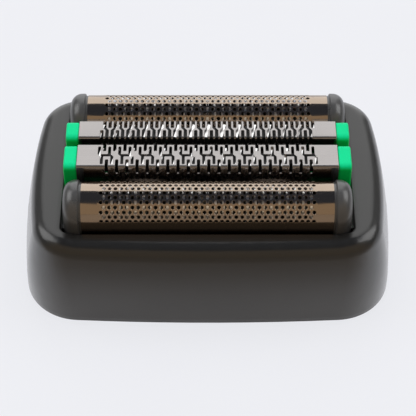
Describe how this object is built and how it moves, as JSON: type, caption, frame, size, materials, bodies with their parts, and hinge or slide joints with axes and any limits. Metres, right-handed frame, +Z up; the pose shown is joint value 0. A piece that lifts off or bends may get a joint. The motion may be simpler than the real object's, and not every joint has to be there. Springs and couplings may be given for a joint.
{
  "type": "shaver foil head",
  "caption": "Foil and cutter head for an electric shaver: a black moulded frame holds arched perforated foils and slotted trimmers with green end caps that float on springs.",
  "frame": {"origin": "middle of the bottom rim, on the surface that the head stands on", "axes": "+X along the foils, +Y from the front foil to the rear foil, +Z up towards the skin"},
  "size_m": [0.0612, 0.0372, 0.0231],
  "materials": {
    "frame_plastic": "satin black moulded plastic",
    "carrier_plastic": "dark grey moulded plastic",
    "cap_plastic": "black moulded plastic, smooth",
    "green_plastic": "bright green moulded plastic",
    "driver_plastic": "grey engineering plastic",
    "foil_steel": "thin polished steel sheet with a warm tint, perforated",
    "comb_steel": "satin steel, slotted",
    "strip_steel": "plain steel strip",
    "blade_steel": "ground blade steel",
    "spring_steel": "drawn spring wire"
  },
  "bodies": {
    "frame": {"outer_frame": "frame_plastic", "inner_carrier": "carrier_plastic", "front_foil_springs": "spring_steel", "front_trimmer_springs": "spring_steel", "rear_foil_springs": "spring_steel", "rear_trimmer_springs": "spring_steel"},
    "front_foil_unit": {"front_foil": "foil_steel", "front_foil_left_cap": "cap_plastic", "front_foil_right_cap": "cap_plastic", "front_foil_edge_strips": "strip_steel"},
    "front_foil_cutter": {"front_cutter_blades": "blade_steel", "front_cutter_carrier": "carrier_plastic"},
    "front_trimmer_unit": {"front_trimmer_comb": "comb_steel", "front_trimmer_left_cap": "green_plastic", "front_trimmer_right_cap": "green_plastic"},
    "front_trimmer_cutter": {"front_trimmer_blade": "blade_steel", "front_trimmer_blade_carrier": "carrier_plastic"},
    "front_driver": {"front_driver": "driver_plastic"},
    "rear_foil_unit": {"rear_foil": "foil_steel", "rear_foil_left_cap": "cap_plastic", "rear_foil_right_cap": "cap_plastic", "rear_foil_edge_strips": "strip_steel"},
    "rear_foil_cutter": {"rear_cutter_blades": "blade_steel", "rear_cutter_carrier": "carrier_plastic"},
    "rear_trimmer_unit": {"rear_trimmer_comb": "comb_steel", "rear_trimmer_left_cap": "green_plastic", "rear_trimmer_right_cap": "green_plastic"},
    "rear_trimmer_cutter": {"rear_trimmer_blade": "blade_steel", "rear_trimmer_blade_carrier": "carrier_plastic"},
    "rear_driver": {"rear_driver": "driver_plastic"}
  },
  "joints": [
    {"name": "front_drive", "type": "slide", "parent": "frame", "child": "front_driver", "axis": [1, 0, 0], "range_m": [-0.0012, 0.0012]},
    {"name": "front_foil_float", "type": "slide", "parent": "frame", "child": "front_foil_unit", "axis": [0, 0, 1], "range_m": [-0.002, 0], "stiffness_N_per_m": 150, "springref_m": 0.002, "deforming": ["front_foil_springs"]},
    {"name": "front_trimmer_float", "type": "slide", "parent": "frame", "child": "front_trimmer_unit", "axis": [0, 0, 1], "range_m": [-0.002, 0], "stiffness_N_per_m": 150, "springref_m": 0.002, "deforming": ["front_trimmer_springs"]},
    {"name": "front_foil_cutter_slide", "type": "slide", "parent": "front_foil_unit", "child": "front_foil_cutter", "axis": [1, 0, 0], "range_m": [-0.0012, 0.0012]},
    {"name": "front_trimmer_cutter_slide", "type": "slide", "parent": "front_trimmer_unit", "child": "front_trimmer_cutter", "axis": [1, 0, 0], "range_m": [-0.0012, 0.0012]},
    {"name": "rear_drive", "type": "slide", "parent": "frame", "child": "rear_driver", "axis": [1, 0, 0], "range_m": [-0.0012, 0.0012]},
    {"name": "rear_foil_float", "type": "slide", "parent": "frame", "child": "rear_foil_unit", "axis": [0, 0, 1], "range_m": [-0.002, 0], "stiffness_N_per_m": 150, "springref_m": 0.002, "deforming": ["rear_foil_springs"]},
    {"name": "rear_trimmer_float", "type": "slide", "parent": "frame", "child": "rear_trimmer_unit", "axis": [0, 0, 1], "range_m": [-0.002, 0], "stiffness_N_per_m": 150, "springref_m": 0.002, "deforming": ["rear_trimmer_springs"]},
    {"name": "rear_foil_cutter_slide", "type": "slide", "parent": "rear_foil_unit", "child": "rear_foil_cutter", "axis": [1, 0, 0], "range_m": [-0.0012, 0.0012]},
    {"name": "rear_trimmer_cutter_slide", "type": "slide", "parent": "rear_trimmer_unit", "child": "rear_trimmer_cutter", "axis": [1, 0, 0], "range_m": [-0.0012, 0.0012]}
  ],
  "couplings": [
    {"joint": "front_foil_cutter_slide", "follows": "front_drive", "ratio": 1},
    {"joint": "front_trimmer_cutter_slide", "follows": "front_drive", "ratio": 1},
    {"joint": "rear_foil_cutter_slide", "follows": "rear_drive", "ratio": 1},
    {"joint": "rear_trimmer_cutter_slide", "follows": "rear_drive", "ratio": 1}
  ]
}
